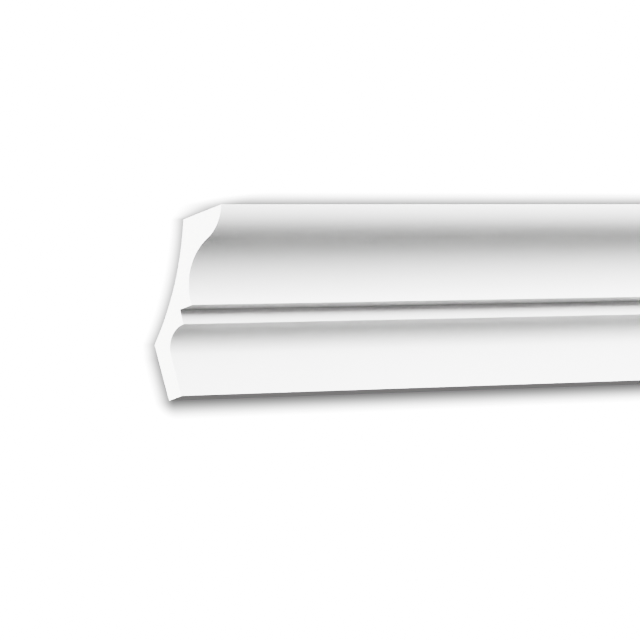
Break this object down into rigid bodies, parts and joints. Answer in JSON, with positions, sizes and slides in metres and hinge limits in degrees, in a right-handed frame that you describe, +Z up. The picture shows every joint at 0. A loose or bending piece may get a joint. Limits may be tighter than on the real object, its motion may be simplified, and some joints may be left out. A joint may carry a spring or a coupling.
{
  "type": "cornice moulding length",
  "caption": "Straight length of plain white cornice moulding for a wall and ceiling corner: ogee, lip, small cove and flat band, cut square at both ends.",
  "frame": {"origin": "middle of the wall face, the flat back that is glued to the wall, at mid-length", "axes": "+X along the moulding, +Y out of the back into the wall, +Z up to the ceiling; the moulded face looks along -Y"},
  "size_m": [1, 0.08, 0.11],
  "materials": {
    "white_foam": "smooth white primed skin with a soft satin look"
  },
  "bodies": {
    "root": {"cornice_moulding": "white_foam"}
  },
  "joints": []
}
